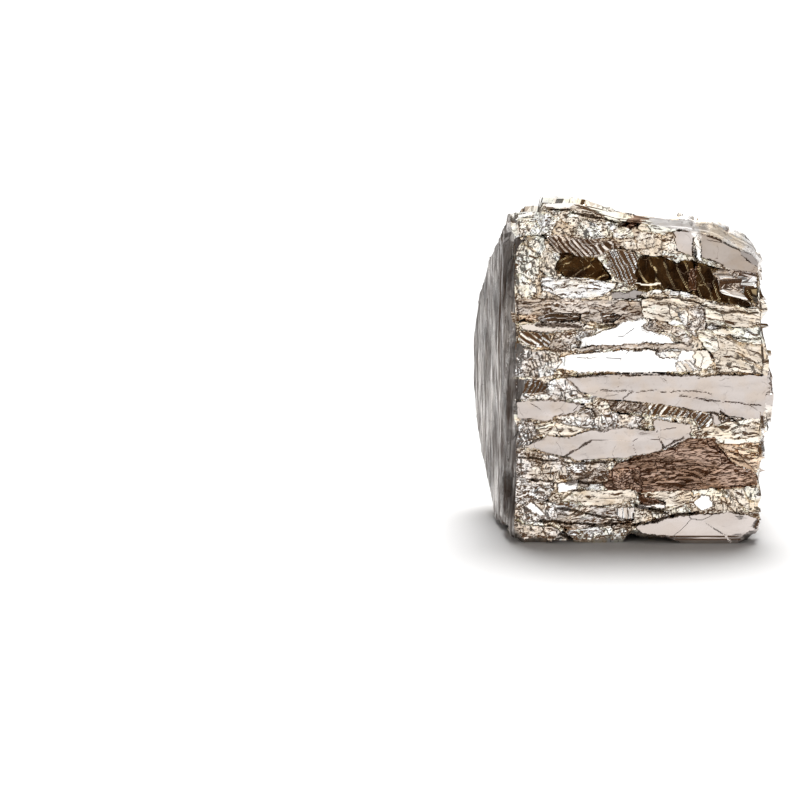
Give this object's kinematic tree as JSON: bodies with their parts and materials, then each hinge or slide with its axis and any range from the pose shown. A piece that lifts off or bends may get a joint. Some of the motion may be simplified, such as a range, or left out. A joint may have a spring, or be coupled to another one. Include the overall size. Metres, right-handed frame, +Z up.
{
  "type": "bismuth metal lump",
  "caption": "Lump of bismuth split off a cast bar: one dull, ribbed mould skin, bright columnar cleavage faces and stepped layers all round, and a flat foot to stand on",
  "frame": {"origin": "centre of the bounding box in plan, at the foot the lump stands on", "axes": "+X along the columns, from the mould skin to the broken inner end; -Y is the bright front fracture; +Z up"},
  "size_m": [0.0296, 0.0218, 0.0341],
  "materials": {
    "bismuth": "bright pinkish silver cleavage faces with brown and straw tarnish in the seams; dull grey mould skin on the -X side"
  },
  "bodies": {
    "root": {"bismuth_lump": "bismuth"}
  },
  "joints": []
}
